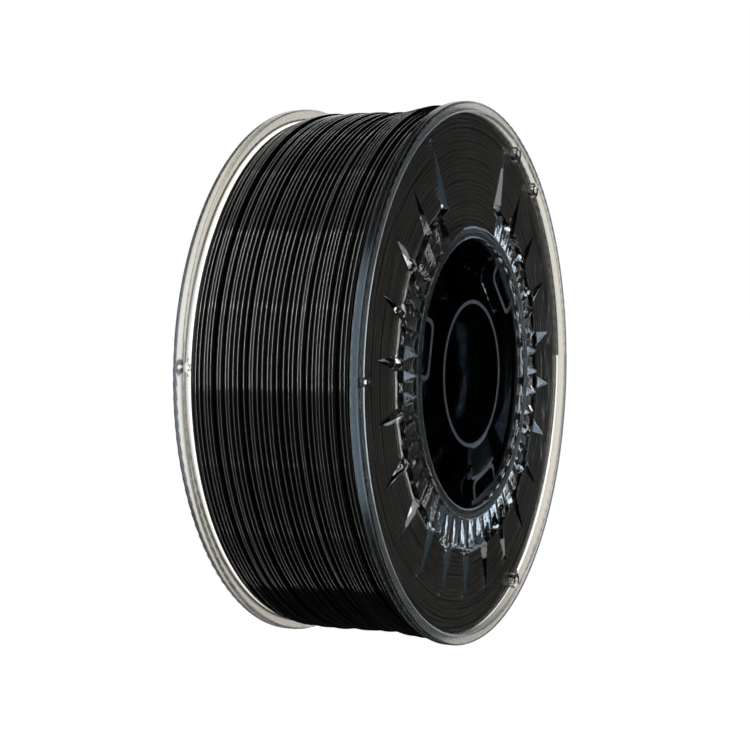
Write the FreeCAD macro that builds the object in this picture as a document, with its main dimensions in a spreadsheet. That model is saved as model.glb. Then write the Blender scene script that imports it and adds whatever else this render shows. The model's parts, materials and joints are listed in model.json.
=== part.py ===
"""Clear moulded spool with one kilogram of 1.75 mm filament wound on it.

The spool's axis is Y and Z is up. The origin is the middle of the spindle bore. The
front flange is at -Y. Two alike flange mouldings carry a raised rim, a collar and a
relief of prisms and rays, and close the ends of a barrel. Two alike hub mouldings meet
in the barrel's middle plane and carry the sleeve that turns on a holder's spindle.
"""
import FreeCAD
import Part
import Sketcher
import os
import re
from math import pi as PI
from FreeCAD import Placement, Rotation, Vector

doc = FreeCAD.newDocument("filament_spool")
sheet = doc.addObject("Spreadsheet::Sheet", "sizes")

SIZES = [
    # the whole spool
    ("flange_radius", 100.0),
    ("half_width", 35.0),
    # the flange's disc, rim and collar, each "at" a distance from the middle plane
    ("disc_inner_at", 31.0),
    ("disc_outer_at", 32.6),
    ("rim_inner_radius", 96.0),
    ("rim_round", 0.8),
    ("collar_outer_radius", 54.5),
    ("collar_top_at", 34.2),
    ("collar_round", 1.0),
    ("eye_centre_radius", 93.4),
    ("eye_boss_radius", 3.0),
    ("eye_hole_radius", 1.3),
    ("eye_top_at", 34.7),
    # the relief of prisms and rays on the disc's outer face
    ("relief_root_at", 32.4),
    ("relief_top_at", 34.2),
    ("prism_inner_radius", 54.0),
    ("prism_outer_radius", 64.6),
    ("prism_inner_width", 4.6),
    ("prism_outer_width", 5.6),
    ("prism_count", 42),
    ("border_radius", 65.6),
    ("border_width", 3.2),
    ("border_count", 21),
    ("ray_root_radius", 65.4),
    ("ray_root_width", 7.0),
    ("ray_tip_radius", 84.0),
    ("long_ray_tip_radius", 92.5),
    ("ray_tip_width", 0.3),
    ("ray_count", 20),
    ("relief_pitch", 15.0),
    ("plain_half_angle", 22.5),
    # the barrel and the fit of its ends in the flanges
    ("barrel_bore_radius", 50.0),
    ("barrel_radius", 52.0),
    ("seat_radius", 52.1),
    ("seat_depth", 1.0),
    ("crush_rib_radius", 49.3),
    ("crush_rib_width", 1.2),
    ("crush_rib_length", 6.0),
    ("crush_rib_count", 22),
    # the hub's sleeve, arms and lugs
    ("bore_radius", 26.0),
    ("sleeve_radius", 27.4),
    ("sleeve_end_at", 32.4),
    ("arm_outer_radius", 49.2),
    ("arm_wall", 1.7),
    ("arm_angle", 32.0),
    ("web_thickness", 2.0),
    ("lug_inner_radius", 39.0),
    ("lug_half_width", 11.0),
    ("lug_corner", 3.5),
    ("lug_depth", 5.0),
    ("lug_wall", 1.5),
    ("plate_thickness", 1.8),
    # the wound filament
    ("winding_radius", 97.5),
    ("winding_bore_radius", 52.15),
    ("winding_half_length", 30.9),
    ("winding_round", 0.85),
]
for row, (alias, value) in enumerate(SIZES, start=1):
    sheet.set(f"A{row}", alias)
    sheet.set(f"B{row}", str(value))
    sheet.setAlias(f"B{row}", alias)
doc.recompute()

EYE_ANGLES = (62.0, 47.6, 294.0, 177.0)   # round the rim, from +X towards +Z
ARM_ANGLES = (44.0, 164.0, 284.0)         # the middles of the hub's three arms
REAR_TURN = -8.0                          # how far the rear mouldings are turned round

ALIASES = {alias for alias, value in SIZES}


def cell(expression):
    """The expression with each alias pointed at the sheet, ready for setExpression."""
    return re.sub(r"[a-z_]+", lambda m: f"sizes.{m[0]}" if m[0] in ALIASES else m[0], expression)


def number(expression):
    """The expression's value now."""
    return float(sheet.evalExpression(cell(expression)))


def new_body(label):
    body = doc.addObject("PartDesign::Body", label)
    body.Label = label
    return body


def origin_part(body, role):
    """The body's own origin plane or axis of that role."""
    return next(part for part in body.Origin.OriginFeatures if part.Role == role)


def new_sketch(body, name, plane, angle=0.0, along=None):
    """A sketch on an origin plane, turned by angle about the spool's axis.

    along is an expression: how far the sketch is moved along the plane's normal.
    """
    sketch = body.newObject("Sketcher::SketchObject", name)
    sketch.AttachmentSupport = [(origin_part(body, plane), "")]
    sketch.MapMode = "FlatFace"
    spin_axis = Vector(1, 0, 0) if plane == "YZ_Plane" else Vector(0, 0, 1)
    sketch.AttachmentOffset = Placement(Vector(), Rotation(spin_axis, angle))
    if along is not None:
        sketch.setExpression("AttachmentOffset.Base.z", cell(along))
    return sketch


def bind(sketch, kind, where, expression):
    """A distance or radius constraint that follows the sheet."""
    index = sketch.addConstraint(Sketcher.Constraint(kind, *where, number(expression)))
    sketch.setExpression(f"Constraints[{index}]", cell(expression))


def outline(sketch, corners):
    """A closed outline of straight lines through corners, each a pair of expressions."""
    points = [Vector(number(across), number(up), 0) for across, up in corners]
    count = len(points)
    for i, point in enumerate(points):
        sketch.addGeometry(Part.LineSegment(point, points[(i + 1) % count]), False)
    for i in range(count):
        sketch.addConstraint(Sketcher.Constraint("Coincident", i, 2, (i + 1) % count, 1))
    for i, (across, up) in enumerate(corners):
        bind(sketch, "DistanceX", (-1, 1, i, 1), across)
        bind(sketch, "DistanceY", (-1, 1, i, 1), up)


def circle(sketch, radius, across="0", up="0"):
    centre = Vector(number(across), number(up), 0)
    ring = Part.Circle(centre, Vector(0, 0, 1), number(radius))
    index = sketch.addGeometry(ring, False)
    bind(sketch, "DistanceX", (-1, 1, index, 3), across)
    bind(sketch, "DistanceY", (-1, 1, index, 3), up)
    bind(sketch, "Radius", (index,), radius)


def revolve(body, name, corners, angle=0.0, sweep=360.0):
    """A section turned about the spool's axis; corners are (distance along Y, radius).

    The section starts at the top of the spool, turned by angle, and sweeps from +Z to +X.
    """
    section = new_sketch(body, f"{name}_section", "YZ_Plane", angle)
    outline(section, corners)
    turned = body.newObject("PartDesign::Revolution", name)
    turned.Profile = section
    turned.ReferenceAxis = (section, ["H_Axis"])
    turned.Angle = sweep
    return turned


def extrude(body, name, sketch, length, cut=False):
    """The sketch padded, or pocketed when cut, towards -Y."""
    feature = body.newObject("PartDesign::Pocket" if cut else "PartDesign::Pad", name)
    feature.Profile = sketch
    feature.setExpression("Length", cell(length))
    feature.Reversed = cut
    return feature


def repeat(body, name, originals, sweep, count):
    """The features repeated evenly about the spool's axis over sweep degrees."""
    pattern = body.newObject("PartDesign::PolarPattern", name)
    pattern.Originals = originals
    pattern.Axis = (origin_part(body, "Y_Axis"), [""])
    pattern.setExpression("Angle", cell(sweep))
    pattern.setExpression("Occurrences", cell(count))
    body.Tip = pattern
    return pattern


def round_edges(body, name, feature, wanted, radius):
    """A fillet on the feature's edges that wanted picks out."""
    doc.recompute()
    edges = [f"Edge{i}" for i, edge in enumerate(feature.Shape.Edges, start=1) if wanted(edge)]
    fillet = body.newObject("PartDesign::Fillet", name)
    fillet.Base = (feature, edges)
    fillet.setExpression("Radius", cell(radius))
    body.Tip = fillet
    return fillet


def is_ring(edge, radius, at):
    """Whether the edge is a whole circle about the spool's axis, at Y = -at."""
    if not isinstance(edge.Curve, Part.Circle):
        return False
    radius_fits = abs(edge.Curve.Radius - number(radius)) < 0.01
    place_fits = abs(edge.Curve.Center.y + number(at)) < 0.01
    return radius_fits and place_fits


def ridge(body, name, start_angle, inner, outer, sweep, count):
    """Radial ridges of triangular section on the disc, repeated about the axis.

    inner and outer are each three expressions: a radius, and the width and height there.
    The first ridge lies at start_angle from the top, turning from +Z to +X.
    """
    sections = []
    for end, (radius, width, height) in (("inner", inner), ("outer", outer)):
        section = body.newObject("Sketcher::SketchObject", f"{name}_{end}")
        section.AttachmentSupport = [(origin_part(body, "XY_Plane"), "")]
        section.MapMode = "FlatFace"
        section.AttachmentOffset = Placement(Vector(), Rotation(Vector(0, 1, 0), start_angle))
        for axis, ratio in (("x", "sin"), ("z", "cos")):
            place = cell(f"({radius}) * {ratio}({start_angle})")
            section.setExpression(f"AttachmentOffset.Base.{axis}", place)
        outline(section, [
            (f"-({width}) / 2", "-relief_root_at"),
            (f"({width}) / 2", "-relief_root_at"),
            ("0", f"-relief_root_at - ({height})"),
        ])
        sections.append(section)
    loft = body.newObject("PartDesign::AdditiveLoft", name)
    loft.Profile = sections[0]
    loft.Sections = [sections[1]]
    loft.Ruled = True
    return repeat(body, f"{name}_row", [loft], sweep, count)


def border(body):
    """The straight-sided border round the prisms, one chord to each pitch."""
    sections = []
    for end, steps in (("start", 0), ("end", 1)):
        angle = number("plain_half_angle") + steps * number("relief_pitch")
        section = new_sketch(body, f"border_{end}", "YZ_Plane", angle)
        outline(section, [
            ("-relief_root_at", "border_radius - border_width / 2"),
            ("-relief_root_at", "border_radius + border_width / 2"),
            ("-relief_top_at", "border_radius"),
        ])
        sections.append(section)
    loft = body.newObject("PartDesign::AdditiveLoft", "border")
    loft.Profile = sections[0]
    loft.Sections = [sections[1]]
    loft.Ruled = True
    repeat(body, "border_row", [loft], "(border_count - 1) * relief_pitch", "border_count")


def flange(label):
    """One flange moulding: disc, rim, collar, relief and the eyes for the filament."""
    body = new_body(label)
    disc = revolve(body, "disc", [
        ("-disc_inner_at", "seat_radius"),
        ("-disc_inner_at", "flange_radius"),
        ("-half_width", "flange_radius"),
        ("-half_width", "rim_inner_radius"),
        ("-disc_outer_at", "rim_inner_radius"),
        ("-disc_outer_at", "collar_outer_radius"),
        ("-collar_top_at", "collar_outer_radius"),
        ("-collar_top_at", "barrel_bore_radius"),
        ("-(disc_inner_at + seat_depth)", "barrel_bore_radius"),
        ("-(disc_inner_at + seat_depth)", "seat_radius"),
    ])
    body.Tip = disc
    rim_rings = [("flange_radius", "half_width"), ("rim_inner_radius", "half_width"),
                 ("flange_radius", "disc_inner_at")]
    rim = round_edges(body, "rim_rounding", disc,
                      lambda edge: any(is_ring(edge, *ring) for ring in rim_rings), "rim_round")
    collar_rings = [("collar_outer_radius", "collar_top_at"),
                    ("barrel_bore_radius", "collar_top_at")]
    round_edges(body, "collar_rounding", rim,
                lambda edge: any(is_ring(edge, *ring) for ring in collar_rings), "collar_round")
    prism_pitch = number("relief_pitch") / 2
    ridge(body, "prism", number("plain_half_angle") + prism_pitch / 2,
          ("prism_inner_radius", "prism_inner_width", "relief_top_at - relief_root_at"),
          ("prism_outer_radius", "prism_outer_width", "relief_top_at - relief_root_at"),
          "(prism_count - 1) * relief_pitch / 2", "prism_count")
    border(body)
    ridge(body, "ray", number("plain_half_angle + relief_pitch"),
          ("ray_root_radius", "ray_root_width", "relief_top_at - relief_root_at"),
          ("ray_tip_radius", "ray_tip_width", "disc_outer_at - relief_root_at + 0.1"),
          "(ray_count - 1) * relief_pitch", "ray_count")
    ridge(body, "long_ray", -number("plain_half_angle"),
          ("ray_root_radius", "ray_root_width", "relief_top_at - relief_root_at"),
          ("long_ray_tip_radius", "ray_tip_width", "disc_outer_at - relief_root_at + 0.1"),
          "2 * plain_half_angle", "2")
    bosses = new_sketch(body, "eye_bosses_outline", "XZ_Plane", along="disc_inner_at")
    holes = new_sketch(body, "eye_holes_outline", "XZ_Plane", along="disc_inner_at")
    for angle in EYE_ANGLES:
        place = (f"eye_centre_radius * cos({angle})", f"eye_centre_radius * sin({angle})")
        circle(bosses, "eye_boss_radius", *place)
        circle(holes, "eye_hole_radius", *place)
    extrude(body, "eye_bosses", bosses, "eye_top_at - disc_inner_at")
    body.Tip = extrude(body, "eye_holes", holes, "half_width - disc_inner_at", cut=True)
    return body


def barrel(label):
    """The tube that the filament is wound on, with short crush ribs inside each end."""
    body = new_body(label)
    reach = "disc_inner_at + seat_depth"
    revolve(body, "tube", [
        (f"-({reach})", "barrel_bore_radius"),
        (f"-({reach})", "barrel_radius"),
        (reach, "barrel_radius"),
        (reach, "barrel_bore_radius"),
    ])
    rows = []
    for name, start in (("front", f"-({reach})"), ("rear", f"{reach} - crush_rib_length")):
        rib = body.newObject("Sketcher::SketchObject", f"{name}_rib_outline")
        rib.AttachmentSupport = [(origin_part(body, "XY_Plane"), "")]
        rib.MapMode = "FlatFace"
        rib.setExpression("AttachmentOffset.Base.z", cell("crush_rib_radius"))
        outline(rib, [
            ("-crush_rib_width / 2", start),
            ("crush_rib_width / 2", start),
            ("crush_rib_width / 2", f"{start} + crush_rib_length"),
            ("-crush_rib_width / 2", f"{start} + crush_rib_length"),
        ])
        pad = body.newObject("PartDesign::Pad", f"{name}_rib")
        pad.Profile = rib
        pad.setExpression("Length", cell("barrel_radius - crush_rib_radius - 1"))
        rows.append(pad)
    repeat(body, "crush_ribs", rows, "360", "crush_rib_count")
    return body


def hub(label):
    """Half of the hub: half the sleeve, and three arms that reach the barrel.

    Each arm has a web in the barrel's middle plane, a wall along the barrel and a lug at
    the mouth, which is an open loop. A plate ties the lowest arm's lug to the sleeve.
    """
    body = new_body(label)
    revolve(body, "sleeve", [
        ("0", "bore_radius"),
        ("0", "sleeve_radius"),
        ("-sleeve_end_at", "sleeve_radius"),
        ("-sleeve_end_at", "bore_radius"),
    ])
    sweep = number("arm_angle")
    first = 90.0 - ARM_ANGLES[0] - sweep / 2
    arm = revolve(body, "arm", [
        ("0", "sleeve_radius - 0.5"),
        ("0", "arm_outer_radius"),
        ("-sleeve_end_at", "arm_outer_radius"),
        ("-sleeve_end_at", "arm_outer_radius - arm_wall"),
        ("-web_thickness", "arm_outer_radius - arm_wall"),
        ("-web_thickness", "sleeve_radius - 0.5"),
    ], first, sweep)
    lug = rounded_lug(body, "lug", "0", "sleeve_end_at - lug_depth")
    lug_pad = extrude(body, "lug", lug, "lug_depth")
    hollow = rounded_lug(body, "lug_hollow", "lug_wall", "sleeve_end_at - lug_depth")
    lug_pocket = extrude(body, "lug_hollow", hollow, "lug_depth + lug_wall", cut=True)
    repeat(body, "arms", [arm, lug_pad, lug_pocket], "360", "3")
    lowest = 90.0 - ARM_ANGLES[2] - sweep / 2
    plate = revolve(body, "plate", [
        ("-sleeve_end_at", "sleeve_radius - 0.5"),
        ("-sleeve_end_at", "lug_inner_radius + lug_wall / 2"),
        ("-(sleeve_end_at - plate_thickness)", "lug_inner_radius + lug_wall / 2"),
        ("-(sleeve_end_at - plate_thickness)", "sleeve_radius - 0.5"),
    ], lowest, sweep)
    body.Tip = plate
    return body


def rounded_lug(body, name, inset, along):
    """A lug's outline on the first arm: two rounded corners towards the sleeve."""
    sketch = new_sketch(body, f"{name}_outline", "XZ_Plane", ARM_ANGLES[0] - 90.0, along)
    half, low = f"lug_half_width - {inset}", f"lug_inner_radius + {inset}"
    corner, high = f"lug_corner - {inset} / 2", f"arm_outer_radius - arm_wall - {inset} / 2"
    a, b, c, d = number(half), number(low), number(corner), number(high)
    sketch.addGeometry([
        Part.LineSegment(Vector(c - a, b, 0), Vector(a - c, b, 0)),
        Part.ArcOfCircle(Part.Circle(Vector(a - c, b + c, 0), Vector(0, 0, 1), c), -PI / 2, 0),
        Part.LineSegment(Vector(a, b + c, 0), Vector(a, d, 0)),
        Part.LineSegment(Vector(a, d, 0), Vector(-a, d, 0)),
        Part.LineSegment(Vector(-a, d, 0), Vector(-a, b + c, 0)),
        Part.ArcOfCircle(Part.Circle(Vector(c - a, b + c, 0), Vector(0, 0, 1), c), -PI, -PI / 2),
    ], False)
    for joint in ((2, 2, 3, 1), (3, 2, 4, 1)):
        sketch.addConstraint(Sketcher.Constraint("Coincident", *joint))
    for joint in ((0, 2, 1, 1), (1, 2, 2, 1), (4, 2, 5, 1), (5, 2, 0, 1)):
        sketch.addConstraint(Sketcher.Constraint("Tangent", *joint))
    for arc in (1, 5):
        bind(sketch, "Radius", (arc,), corner)
    for line, end, across in ((2, 2, half), (4, 1, f"-({half})")):
        sketch.addConstraint(Sketcher.Constraint("Vertical", line))
        bind(sketch, "DistanceX", (-1, 1, line, end), across)
        bind(sketch, "DistanceY", (-1, 1, line, end), high)
    sketch.addConstraint(Sketcher.Constraint("Horizontal", 0))
    bind(sketch, "DistanceY", (-1, 1, 0, 1), low)
    return sketch


def winding(label):
    """The whole wound strand as one bored block with rounded outer edges."""
    body = new_body(label)
    pack = revolve(body, "pack", [
        ("-winding_half_length", "winding_bore_radius"),
        ("-winding_half_length", "winding_radius"),
        ("winding_half_length", "winding_radius"),
        ("winding_half_length", "winding_bore_radius"),
    ])
    ends = [("winding_radius", "winding_half_length"), ("winding_radius", "-winding_half_length")]
    round_edges(body, "pack_rounding", pack,
                lambda edge: any(is_ring(edge, *ring) for ring in ends), "winding_round")
    return body


def turn_over(body):
    """Puts a front moulding at the rear: over about X, then round about the spool's axis."""
    body.Placement = Placement(
        Vector(), Rotation(Vector(0, 1, 0), -REAR_TURN) * Rotation(Vector(1, 0, 0), 180))
    return body


subparts = [
    flange("front_flange"),
    turn_over(flange("rear_flange")),
    barrel("core_barrel"),
    hub("front_hub"),
    turn_over(hub("rear_hub")),
    winding("filament_winding"),
]
doc.recompute()

for item in doc.Objects:
    if {"Invalid", "Error"} & set(item.State):
        raise RuntimeError(f"{item.Label} failed: {item.State}")
for subpart in subparts:
    shape = subpart.Shape
    if shape.isNull() or not shape.isValid() or len(shape.Solids) != 1:
        raise RuntimeError(f"{subpart.Label} isn't one valid solid: {len(shape.Solids)}")
    print(subpart.Label, round(shape.Volume / 1000.0, 2), "cm3", shape.BoundBox)

os.makedirs("parts", exist_ok=True)
for subpart in subparts:
    subpart.Shape.exportStep(f"parts/{subpart.Label}.step")
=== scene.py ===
"""A clear moulded spool full of black filament, on a plain white studio floor.

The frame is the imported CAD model, in metres: the spool's axis is Y and Z is up. The
clear mouldings keep their CAD shape and get a polystyrene material. The wound filament
is built turn by turn in place of its plain CAD block.
"""
import json
import math

import bpy
import numpy as np
from mathutils import Matrix, Vector


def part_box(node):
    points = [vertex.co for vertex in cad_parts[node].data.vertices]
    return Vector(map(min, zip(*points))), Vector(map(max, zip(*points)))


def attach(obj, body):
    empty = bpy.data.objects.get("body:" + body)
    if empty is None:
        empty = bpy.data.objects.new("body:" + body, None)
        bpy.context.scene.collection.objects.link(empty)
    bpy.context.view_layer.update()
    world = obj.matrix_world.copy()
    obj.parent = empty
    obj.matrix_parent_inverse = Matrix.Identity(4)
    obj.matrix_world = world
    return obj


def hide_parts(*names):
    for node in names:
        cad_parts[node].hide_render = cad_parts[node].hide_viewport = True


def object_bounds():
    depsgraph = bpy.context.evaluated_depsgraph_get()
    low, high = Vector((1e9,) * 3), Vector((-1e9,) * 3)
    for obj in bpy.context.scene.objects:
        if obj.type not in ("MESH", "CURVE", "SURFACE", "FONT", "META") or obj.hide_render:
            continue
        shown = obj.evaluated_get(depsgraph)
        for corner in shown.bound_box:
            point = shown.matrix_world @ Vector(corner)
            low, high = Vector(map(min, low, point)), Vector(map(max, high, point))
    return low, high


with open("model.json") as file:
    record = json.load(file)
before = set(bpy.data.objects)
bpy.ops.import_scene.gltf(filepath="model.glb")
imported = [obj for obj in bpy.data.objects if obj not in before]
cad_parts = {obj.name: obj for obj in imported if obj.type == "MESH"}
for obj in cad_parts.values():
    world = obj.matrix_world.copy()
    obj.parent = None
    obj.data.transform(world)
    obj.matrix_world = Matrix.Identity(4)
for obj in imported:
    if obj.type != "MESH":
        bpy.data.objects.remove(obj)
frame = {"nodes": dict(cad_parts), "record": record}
CAD_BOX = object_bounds()

MM = 0.001
SEED = 7
FULL_TURN = 2.0 * math.pi

# The room that the winding has, and the places where the mouldings' finish changes
WINDING_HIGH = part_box("filament_winding")[1]
WINDING_RADIUS = WINDING_HIGH[0]
WINDING_HALF = WINDING_HIGH[1]
BARREL_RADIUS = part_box("core_barrel")[1][0]
FLOOR_HEIGHT = CAD_BOX[0][2]
RIM_INNER_RADIUS = CAD_BOX[1][0] - 4.2 * MM
COLLAR_RADIUS = BARREL_RADIUS + 2.6 * MM
BORDER_RADIUS = BARREL_RADIUS + 15.0 * MM     # as far as the chisel marks reach
DISC_FACE = CAD_BOX[1][1] - 2.4 * MM
HUB_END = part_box("rear_hub")[1][1]
SLEEVE_RADIUS = 28.0 * MM
LUG_RADIUS = 38.6 * MM                        # just inside the lugs
ZONE_BLUR = 0.25 * MM                         # half the breadth of a change of finish

# The winding's make-up
STRAND = 1.75 * MM
MEAN_PITCH = 1.775 * MM       # from turn to turn in a layer
STRAY = 0.45 * MM             # how far a turn wanders sideways, and up or down
HEAVE = 0.42 * MM
STRAY_KNOTS = 2.3             # how often that changes, in places per turn
HEAVE_KNOTS = 1.6
LAYER_RISE = 1.60 * MM        # from layer to layer, since each sits in the one below
CROSSING_START = 0.22         # where on each turn the strand steps over to the next
CROSSING_SHARE = 0.22
STEPS_PER_TURN = 240

# Where the layers below have heaped up, or sunk if the height is negative: place along
# Y, breadth, height and phase. Round the spool, the height varies by SWELL_SWAY of itself.
SWELLS = ((-22.0 * MM, 5.0 * MM, 0.8 * MM, -0.1), (-7.0 * MM, 5.0 * MM, -0.7 * MM, 0.2),
          (17.0 * MM, 7.0 * MM, 0.4 * MM, 4.0), (30.0 * MM, 4.0 * MM, -1.9 * MM, -0.35))
SWELL_SWAY = 0.5

# The outermost turns of the layers, which show through the discs
END_STEPS = 200
END_GAP = 0.2 * MM            # between the barrel and the first layer
END_DRIFT = 0.16 * MM         # how far such a turn wanders up or down
END_INSET = 0.3 * MM          # how far a layer may stop short of the disc
END_WEAVE = 0.18 * MM         # how far such a turn wanders away from the disc

# The hidden core stops short of the discs and of the outer layers, in strands
CORE_SETBACK = 1.6
CORE_DEPTH = 2.2
CORE_GAP = 0.3 * MM

# Refraction, and how much deeper the chisel marks on the prisms are than the waves that
# the melt's flow leaves
POLYSTYRENE_IOR = 1.59
FILAMENT_IOR = 1.50
CHISEL_DEPTH = 5.0
COLLAR_MIST = 0.6             # how misty the collar is and how much painted shade it gets, as a share of the rim's

# The camera stands where its picture of both rims has their right shapes
CAMERA_PLACE = Vector((-555.96, -260.52, 50.16)) * MM
CAMERA_TARGET = Vector((-3.16, 6.32, -1.15)) * MM
CAMERA_ROLL = 2.0             # degrees about the spool's axis, from upright
CAMERA_LENS = 77.75
SENSOR = 36.0

# How bright the studio is in mirror reflections, and seen through clear plastic. The
# second brightens from the first, as the Y of the ray's direction goes from one to the other.
MIRRORED_STRENGTH = 0.015
THROUGH_STRENGTH = 0.65
BRIGHTENS_FROM = -0.15
BRIGHTENS_TO = 0.25

FLOOR_HALF = 3.0
FLOOR_GAP = 0.2 * MM
FLAG_RADIUS = 62.0 * MM
FLAG_GAP = 2.0 * MM

# The bow of strip lights: where each stands round the spool's axis, and how bright it is
STRIP_REACH = 1.2
STRIP_LEAN = 25.5             # degrees from the winding's middle plane towards the rear
STRIP_ARC = 32.0
STRIP_WIDTH = 0.10
STRIP_COLOUR = (0.97, 1.0, 0.96)
STRIPS = ((38.0, 2.4), (70.0, 5.0), (102.0, 11.0), (134.0, 36.0), (166.0, 40.0), (198.0, 10.0),
          (230.0, 7.6), (262.0, 4.0))


# ---------------------------------------------------------------- small tools

def tube_mesh(angle, radius, along, thick, sides, closed):
    """A round strand laid about the Y axis.

    angle, radius and along give the middle of the strand, point by point.
    """
    phase = np.arange(sides) * FULL_TURN / sides
    out = radius[:, None] + thick * np.cos(phase)[None, :]
    across = along[:, None] + thick * np.sin(phase)[None, :]
    points = np.stack([out * np.cos(angle)[:, None], across, out * np.sin(angle)[:, None]], axis=2)
    count = len(angle)
    rows = np.arange(count if closed else count - 1)
    here = (rows[:, None] * sides + np.arange(sides)[None, :])
    beside = (rows[:, None] * sides + (np.arange(sides)[None, :] + 1) % sides)
    step = ((rows[:, None] + 1) % count) * sides
    quads = np.stack([here, step + np.arange(sides)[None, :],
                      step + (np.arange(sides)[None, :] + 1) % sides, beside], axis=2)
    return points.reshape(-1, 3), quads.reshape(-1, 4)


def join_meshes(name, meshes, material):
    """One object of several point and face arrays, smooth shaded, riding on the spool."""
    points, quads, offset = [], [], 0
    for mesh_points, mesh_quads in meshes:
        points.append(mesh_points)
        quads.append(mesh_quads + offset)
        offset += len(mesh_points)
    mesh = bpy.data.meshes.new(name)
    mesh.from_pydata(np.concatenate(points).tolist(), [], np.concatenate(quads).tolist())
    mesh.polygons.foreach_set("use_smooth", [True] * len(mesh.polygons))
    mesh.materials.append(material)
    mesh.update()
    piece = bpy.data.objects.new(name, mesh)
    bpy.context.scene.collection.objects.link(piece)
    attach(piece, "root")
    return piece


def wander(rng, turns, knots_per_turn, amount):
    """A smooth random function of the number of turns wound so far."""
    knots = rng.normal(0.0, amount, int(turns * knots_per_turn) + 4)

    def value(u):
        place = u * knots_per_turn + 1.0
        low = np.floor(place).astype(int)
        part = place - low
        blend = part * part * (3.0 - 2.0 * part)
        return knots[low] * (1.0 - blend) + knots[low + 1] * blend

    return value


# ------------------------------------------------------------------ materials

def new_material(name):
    """A material with its node tree and its shader."""
    material = bpy.data.materials.new(name)
    material.use_nodes = True
    tree = material.node_tree
    return material, tree, tree.nodes["Principled BSDF"]


def noise(tree, scale, detail=3.0, stretch=(1.0, 1.0, 1.0)):
    """A noise texture in the object's own metres, stretched along its axes."""
    place = tree.nodes.new("ShaderNodeTexCoord")
    mapping = tree.nodes.new("ShaderNodeMapping")
    mapping.inputs["Scale"].default_value = stretch
    texture = tree.nodes.new("ShaderNodeTexNoise")
    texture.inputs["Scale"].default_value = scale
    texture.inputs["Detail"].default_value = detail
    tree.links.new(place.outputs["Object"], mapping.inputs["Vector"])
    tree.links.new(mapping.outputs["Vector"], texture.inputs["Vector"])
    return texture.outputs["Fac"]


def remapped(tree, value, from_low, from_high, low, high):
    """The range from_low to from_high mapped onto low to high."""
    remap = tree.nodes.new("ShaderNodeMapRange")
    remap.inputs["From Min"].default_value = from_low
    remap.inputs["From Max"].default_value = from_high
    remap.inputs["To Min"].default_value = low
    remap.inputs["To Max"].default_value = high
    tree.links.new(value, remap.inputs["Value"])
    return remap.outputs["Result"]


def spread(tree, factor, low, high):
    """A noise's middle range, where most of it lies, mapped onto low to high."""
    return remapped(tree, factor, 0.3, 0.7, low, high)


def step_at(tree, value, place, low, high):
    """low below the place and high above it, over a short blur."""
    return remapped(tree, value, place - ZONE_BLUR, place + ZONE_BLUR, low, high)


def tint(tree, factor, dark, light):
    """A mix of two colours."""
    mix = tree.nodes.new("ShaderNodeMix")
    mix.data_type = "RGBA"
    mix.inputs["A"].default_value = (*dark, 1.0)
    mix.inputs["B"].default_value = (*light, 1.0)
    tree.links.new(factor, mix.inputs["Factor"])
    return mix.outputs["Result"]


def bump(tree, height, strength, distance):
    """The surface's normal, roughened by the height."""
    node = tree.nodes.new("ShaderNodeBump")
    node.inputs["Strength"].default_value = strength
    node.inputs["Distance"].default_value = distance
    tree.links.new(height, node.inputs["Height"])
    return node.outputs["Normal"]


def combine(tree, operation, *terms):
    """A Math node's result; each term is a socket or a plain number."""
    node = tree.nodes.new("ShaderNodeMath")
    node.operation = operation
    for socket, term in zip(node.inputs, terms):
        if isinstance(term, bpy.types.NodeSocket):
            tree.links.new(term, socket)
        else:
            socket.default_value = term
    return node.outputs["Value"]


def from_axis(tree):
    """How far the point is from the spool's axis, in metres."""
    place = tree.nodes.new("ShaderNodeTexCoord")
    flat = tree.nodes.new("ShaderNodeVectorMath")
    flat.operation = "MULTIPLY"
    flat.inputs[1].default_value = (1.0, 0.0, 1.0)
    length = tree.nodes.new("ShaderNodeVectorMath")
    length.operation = "LENGTH"
    tree.links.new(place.outputs["Object"], flat.inputs[0])
    tree.links.new(flat.outputs["Vector"], length.inputs[0])
    return length.outputs["Value"]


def from_middle(tree):
    """How far the point is from the spool's middle plane, in metres."""
    place = tree.nodes.new("ShaderNodeTexCoord")
    parts = tree.nodes.new("ShaderNodeSeparateXYZ")
    tree.links.new(place.outputs["Object"], parts.inputs["Vector"])
    return combine(tree, "ABSOLUTE", parts.outputs["Y"])


def filament_material(name, dark, light, polished, scuffed):
    """Black extruded plastic, more polished in some places than in others."""
    material, tree, shader = new_material(name)
    tree.links.new(tint(tree, noise(tree, 60.0), dark, light), shader.inputs["Base Color"])
    scuffs = noise(tree, 450.0, 2.0, (0.12, 1.0, 0.12))
    tree.links.new(spread(tree, scuffs, polished, scuffed), shader.inputs["Roughness"])
    grain = noise(tree, 900.0, 2.0)
    tree.links.new(bump(tree, grain, 0.05, 0.05 * MM), shader.inputs["Normal"])
    shader.inputs["IOR"].default_value = FILAMENT_IOR
    return material


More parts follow.
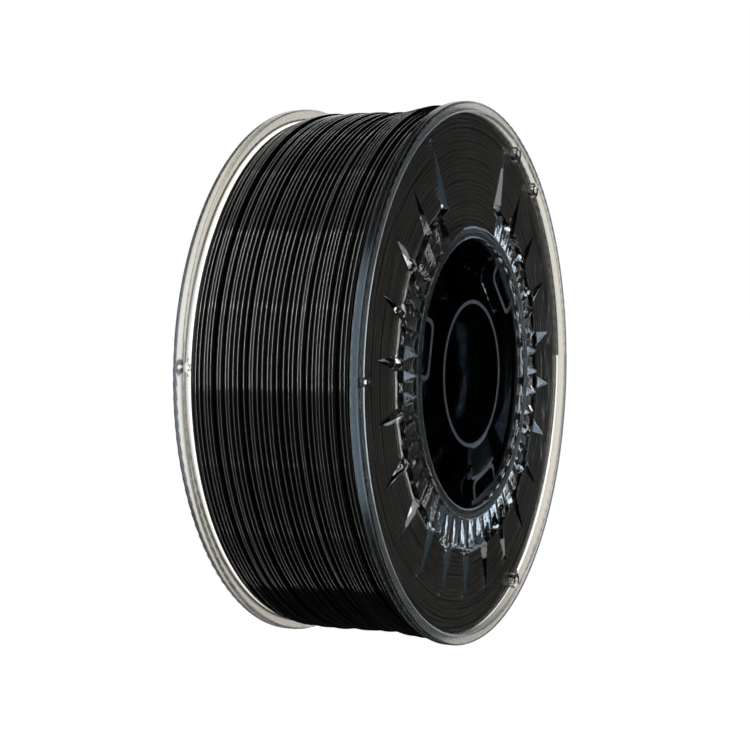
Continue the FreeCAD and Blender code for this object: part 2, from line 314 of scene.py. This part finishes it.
def clear_material(name, colour, shaded_misty_colour, roughness, mist, zones):
    """Clear moulded polystyrene, with the slight waviness that the melt's flow leaves.

    zones(tree) gives two masks: where the mould's face is finely blasted, so that the plastic is misty
    there, and where it is chiselled, so that it glints. Where misty, the base colour also turns to the
    misty colour. On the flange that colour is much darker, which is painted shade.
    """
    material, tree, shader = new_material(name)
    misty, chiselled = zones(tree)
    # On the flange the misty colour is far darker than the clear one. This is painted shade, which
    # makes the frosted rim and collar read grey.
    tree.links.new(tint(tree, misty, colour, shaded_misty_colour), shader.inputs["Base Color"])
    polish = spread(tree, noise(tree, 120.0), roughness, roughness * 2.5)
    tree.links.new(combine(tree, "MULTIPLY_ADD", misty, mist, polish), shader.inputs["Roughness"])
    cuts = combine(tree, "MULTIPLY", noise(tree, 700.0, 2.0), chiselled)
    waves = noise(tree, 130.0, 2.0)
    height = combine(tree, "MULTIPLY_ADD", cuts, CHISEL_DEPTH, waves)
    tree.links.new(bump(tree, height, 0.25, 0.12 * MM), shader.inputs["Normal"])
    shader.inputs["Transmission Weight"].default_value = 1.0
    shader.inputs["IOR"].default_value = POLYSTYRENE_IOR
    return material


def flange_zones(tree):
    """The rim and the collar are misty, and the prisms next to the collar are chiselled. The misty mask
    also darkens the flange's colour there, as painted shade.
    """
    radius = from_axis(tree)
    at_rim = step_at(tree, radius, RIM_INNER_RADIUS, 0.0, 1.0)
    at_collar = step_at(tree, radius, COLLAR_RADIUS, 1.0, 0.0)
    misty = combine(tree, "MULTIPLY_ADD", at_collar, COLLAR_MIST, at_rim)
    in_border = step_at(tree, radius, BORDER_RADIUS, 1.0, 0.0)
    raised = step_at(tree, from_middle(tree), DISC_FACE + 0.4 * MM, 0.0, 1.0)
    prisms = combine(tree, "SUBTRACT", in_border, at_collar)
    return misty, combine(tree, "MULTIPLY", prisms, raised)


def core_zones(tree):
    """The ends of the sleeve and of the lugs are misty, and nothing is chiselled."""
    radius = from_axis(tree)
    at_end = step_at(tree, from_middle(tree), HUB_END - 0.3 * MM, 0.0, 1.0)
    at_sleeve = step_at(tree, radius, SLEEVE_RADIUS, 1.0, 0.0)
    at_lugs = step_at(tree, radius, LUG_RADIUS, 0.0, 1.0)
    return combine(tree, "MULTIPLY", combine(tree, "ADD", at_sleeve, at_lugs), at_end), 0.0


def floor_material():
    """Pale and evenly bright, so that the floor and the studio behind it look as one."""
    material, tree, shader = new_material("studio_floor")
    tree.links.new(tint(tree, noise(tree, 3.0), (0.90, 0.90, 0.90), (0.94, 0.94, 0.94)),
                   shader.inputs["Base Color"])
    shader.inputs["Roughness"].default_value = 0.8
    shader.inputs["Emission Color"].default_value = (1.0, 1.0, 1.0, 1.0)
    shader.inputs["Emission Strength"].default_value = 1.0
    return material


def flag_material():
    """Dead black, with no gloss."""
    material, _, shader = new_material("black_flag")
    shader.inputs["Base Color"].default_value = (0.0, 0.0, 0.0, 1.0)
    shader.inputs["Specular IOR Level"].default_value = 0.0
    return material


# ------------------------------------------------------------------ mouldings

def coat_mouldings(faced):
    """Give the clear CAD nodes their materials, and add them to the faced pieces.

    The flanges cast no shadow, so that light reaches the turns behind their discs.
    """
    clear = {
        # The flange's misty colour is painted shade on the rim and collar.
        "clear_flange": clear_material("clear_flange", colour=(0.95, 0.92, 0.87),
                                       shaded_misty_colour=(0.44, 0.42, 0.37), roughness=0.015,
                                       mist=0.22, zones=flange_zones),
        "clear_core": clear_material("clear_core", colour=(0.86, 0.91, 0.95),
                                     shaded_misty_colour=(0.84, 0.89, 0.93), roughness=0.02,
                                     mist=0.28, zones=core_zones),
    }
    for entry in frame["record"]["subparts"]:
        slot = entry["material_slot"]
        if slot in clear:
            node = frame["nodes"][entry["node"]]
            node.visible_shadow = slot != "clear_flange"
            for index in range(len(node.data.materials)):
                node.data.materials[index] = clear[slot]
            faced.objects.link(node)


# -------------------------------------------------------------------- winding

def layer(rng, radius, turns, forward, sides, steps):
    """One layer: a helix across the spool whose turns lie a little unevenly."""
    u = np.linspace(0.0, turns, int(turns * steps) + 1)
    reach = WINDING_HALF - STRAND / 2
    whole, part = np.floor(u), u - np.floor(u)
    shift = np.clip((part - CROSSING_START) / CROSSING_SHARE, 0.0, 1.0)
    wound = whole + shift * shift * (3.0 - 2.0 * shift)
    along = (2.0 * wound / np.max(wound) - 1.0) * reach * (1.0 if forward else -1.0)
    fade = np.clip(np.minimum(u, turns - u), 0.0, 1.0)
    along = along + wander(rng, turns, STRAY_KNOTS, STRAY)(u) * fade
    along = np.clip(along, -reach, reach)
    angle = FULL_TURN * u
    lift = wander(rng, turns, HEAVE_KNOTS, HEAVE)(u)
    for place, breadth, height, start in SWELLS:
        sway = 1.0 + SWELL_SWAY * np.sin(angle + start)
        lift = lift + height * np.exp(-((along - place) / breadth) ** 2) * sway
    return tube_mesh(angle, radius + lift, along, STRAND / 2, sides, False)


def layer_ends(rng):
    """What shows through each disc: the outermost turn of every layer, one above another."""
    rings = []
    angle = np.linspace(0.0, FULL_TURN, END_STEPS, endpoint=False)
    layers = int((WINDING_RADIUS - BARREL_RADIUS - STRAND) / LAYER_RISE)
    for side in (-1.0, 1.0):
        for level in range(layers):
            radius = BARREL_RADIUS + STRAND / 2 + END_GAP + level * LAYER_RISE
            waves = rng.integers(2, 7)
            phase = rng.uniform(0.0, FULL_TURN)
            drift = END_DRIFT * np.sin(waves * angle + phase)
            inset = rng.uniform(0.0, END_INSET)
            weave = END_WEAVE * (1.0 + np.sin((waves + 1) * angle - phase))
            along = side * (WINDING_HALF - STRAND / 2 - inset - weave)
            rings.append(tube_mesh(angle, radius + drift, along, STRAND / 2, 10, True))
    return rings


def core():
    """The turns deep inside, as one closed body under the layers that show."""
    angle = np.linspace(0.0, FULL_TURN, 128, endpoint=False)
    deep = WINDING_HALF - CORE_SETBACK * STRAND
    inner, outer = BARREL_RADIUS + CORE_GAP, WINDING_RADIUS - CORE_DEPTH * STRAND
    section = [(inner, -deep), (outer, -deep), (outer, deep), (inner, deep)]
    points = [(r * math.cos(a), y, r * math.sin(a)) for a in angle for r, y in section]
    quads = []
    for i in range(len(angle)):
        here, ahead = 4 * i, 4 * ((i + 1) % len(angle))
        quads += [(here + j, here + (j + 1) % 4, ahead + (j + 1) % 4, ahead + j) for j in range(4)]
    return np.array(points), np.array(quads)


def wind_filament(turned, faced):
    """The filament's four pieces: the layer ends are faced pieces, the others turned ones."""
    skin = filament_material("black_filament", dark=(0.003, 0.003, 0.0033),
                             light=(0.005, 0.0052, 0.005), polished=0.05, scuffed=0.13)
    # The turns behind the discs get a lighter, brownish copy of the black filament's colour. This is
    # painted light, standing in for the light that falls on them through the discs.
    side_skin_painted_lighter = filament_material("black_filament_painted_lighter_side", dark=(0.020, 0.017, 0.013),
                                  light=(0.030, 0.026, 0.020), polished=0.50, scuffed=0.62)
    rng = np.random.default_rng(SEED)
    turns = (2 * WINDING_HALF - STRAND) / MEAN_PITCH
    top = WINDING_RADIUS - STRAND / 2
    outer = layer(rng, top, turns, True, 12, STEPS_PER_TURN)
    under = layer(rng, top - LAYER_RISE, turns, False, 8, STEPS_PER_TURN // 2)
    for name, meshes, material, group in (
            ("filament_outer_layer", [outer], skin, turned),
            ("filament_under_layer", [under], skin, turned),
            ("filament_layer_ends", layer_ends(rng), side_skin_painted_lighter, faced),
            ("filament_core", [core()], skin, turned)):
        piece = join_meshes(name, meshes, material)
        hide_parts("filament_winding")
        group.objects.link(piece)


# ---------------------------------------------------------------------- stage

def set_camera():
    """The camera, its upright turned about the spool's axis with it."""
    camera = bpy.data.objects.new("camera", bpy.data.cameras.new("camera"))
    bpy.context.scene.collection.objects.link(camera)
    back = (CAMERA_PLACE - CAMERA_TARGET).normalized()
    roll = math.radians(CAMERA_ROLL)
    upright = Vector((math.sin(roll), 0.0, math.cos(roll)))
    right = upright.cross(back).normalized()
    up = back.cross(right)
    turn = Matrix((right, up, back)).transposed()
    camera.matrix_world = Matrix.Translation(CAMERA_PLACE) @ turn.to_4x4()
    camera.data.lens = CAMERA_LENS
    camera.data.sensor_width = SENSOR
    camera.data.clip_start = 0.01
    bpy.context.scene.camera = camera


def set_world():
    """White behind the spool; dim in mirror reflections; bright through clear plastic only
    towards the rear, so that the discs stay as dark as the winding behind them."""
    world = bpy.data.worlds.new("studio")
    bpy.context.scene.world = world
    world.use_nodes = True
    tree = world.node_tree
    path = tree.nodes.new("ShaderNodeLightPath")
    direction = tree.nodes.new("ShaderNodeTexCoord")
    parts = tree.nodes.new("ShaderNodeSeparateXYZ")
    tree.links.new(direction.outputs["Generated"], parts.inputs["Vector"])
    rearward = tree.nodes.new("ShaderNodeMapRange")
    rearward.interpolation_type = "SMOOTHSTEP"
    rearward.inputs["From Min"].default_value = BRIGHTENS_FROM
    rearward.inputs["From Max"].default_value = BRIGHTENS_TO
    rearward.inputs["To Min"].default_value = MIRRORED_STRENGTH
    rearward.inputs["To Max"].default_value = THROUGH_STRENGTH
    tree.links.new(parts.outputs["Y"], rearward.inputs["Value"])
    mixed = tree.nodes["Background"]
    mixed.inputs["Color"].default_value = (0.80, 0.88, 1.0, 1.0)
    mixed.inputs["Strength"].default_value = MIRRORED_STRENGTH
    for ray, colour in (("Is Transmission Ray", (1.0, 0.99, 0.97, 1.0)),
                        ("Is Camera Ray", (1.0, 1.0, 1.0, 1.0))):
        seen = tree.nodes.new("ShaderNodeBackground")
        seen.inputs["Color"].default_value = colour
        if ray == "Is Transmission Ray":
            tree.links.new(rearward.outputs["Result"], seen.inputs["Strength"])
        mix = tree.nodes.new("ShaderNodeMixShader")
        tree.links.new(path.outputs[ray], mix.inputs["Fac"])
        tree.links.new(mixed.outputs[0], mix.inputs[1])
        tree.links.new(seen.outputs["Background"], mix.inputs[2])
        mixed = mix
    tree.links.new(mixed.outputs[0], tree.nodes["World Output"].inputs["Surface"])


def stage_card(name, corners, material):
    """One flat face of the stage, which isn't part of the spool."""
    mesh = bpy.data.meshes.new(name)
    mesh.from_pydata(corners, [], [range(len(corners))])
    mesh.materials.append(material)
    card = bpy.data.objects.new(name, mesh)
    bpy.context.scene.collection.objects.link(card)
    return card


def set_floor():
    """The floor that the spool stands on. Only the camera sees it."""
    level = FLOOR_HEIGHT - FLOOR_GAP
    corners = [(x * FLOOR_HALF, y * FLOOR_HALF, level) for x, y in ((-1, -1), (1, -1), (1, 1), (-1, 1))]
    floor = stage_card("floor", corners, floor_material())
    floor.visible_glossy = False
    floor.visible_transmission = False
    floor.visible_diffuse = False
    floor.visible_shadow = False


def set_flag():
    """A black card behind the hub's rear mouth, so that the studio doesn't light the hub
    from inside. The camera doesn't see it."""
    level = CAD_BOX[1][1] + FLAG_GAP
    angles = [FULL_TURN * i / 48 for i in range(48)]
    corners = [(FLAG_RADIUS * math.cos(a), level, FLAG_RADIUS * math.sin(a)) for a in angles]
    flag = stage_card("flag", corners, flag_material())
    flag.visible_camera = False


def softbox(name, place, long_side, width, length, radiance, colour, lit):
    """A soft light at place that faces the spool, with its length along long_side. It
    lights only the pieces in the collection lit."""
    light = bpy.data.lights.new(name, "AREA")
    light.shape = "RECTANGLE"
    light.size = width
    light.size_y = length
    light.energy = radiance * math.pi * width * length
    light.color = colour
    lamp = bpy.data.objects.new(name, light)
    bpy.context.scene.collection.objects.link(lamp)
    away = Vector(place).normalized()
    across = Vector(long_side).cross(away).normalized()
    along = away.cross(across)
    turn = Matrix((across, along, away)).transposed()
    lamp.matrix_world = Matrix.Translation(place) @ turn.to_4x4()
    lamp.light_linking.receiver_collection = lit


def set_soft_boxes(faced):
    """The lights of the clear mouldings and of the layer ends behind the discs."""
    upright = (0.0, 0.0, 1.0)
    for name, place, width, length, radiance, colour in (
            ("light_back", (2.0, 1.1, 0.4), 2.6, 2.4, 1.0, (1.0, 1.0, 1.0)),
            ("light_side", (1.8, -0.22, 0.0), 0.75, 2.4, 1.3, (0.66, 0.83, 1.0)),
            ("light_front", (0.1, -1.5, 0.2), 1.1, 1.5, 0.75, (0.60, 0.80, 1.0)),
            ("light_lines", (0.55, -1.4, -0.2), 0.28, 2.4, 2.8, (1.0, 0.95, 0.88)),
            ("light_rim", (-1.2, 0.56, 0.0), 0.7, 2.8, 2.6, (0.58, 0.78, 1.0))):
        softbox(name, place, upright, width, length, radiance, colour, faced)


def set_strips(turned):
    """The bow of strip lights for the winding.

    The bow lies on a cone about the spool's axis: from each point of it the middle of
    some turn mirrors light towards the front left.
    """
    lean = math.radians(STRIP_LEAN)
    length = STRIP_REACH * math.radians(STRIP_ARC)
    for number, (angle, radiance) in enumerate(STRIPS):
        turn = math.radians(angle)
        out = Vector((math.cos(turn), 0.0, math.sin(turn)))
        place = STRIP_REACH * (out * math.cos(lean) + Vector((0.0, math.sin(lean), 0.0)))
        tangent = (-math.sin(turn), 0.0, math.cos(turn))
        softbox(f"light_strip_{number}", place, tangent, STRIP_WIDTH, length, radiance,
                STRIP_COLOUR, turned)


set_camera()
set_world()
set_floor()
set_flag()

TURNED = bpy.data.collections.new("lit_by_strips")
FACED = bpy.data.collections.new("lit_by_soft_boxes")
coat_mouldings(FACED)
wind_filament(TURNED, FACED)
set_soft_boxes(FACED)
set_strips(TURNED)

bpy.context.scene.view_settings.view_transform = "Standard"
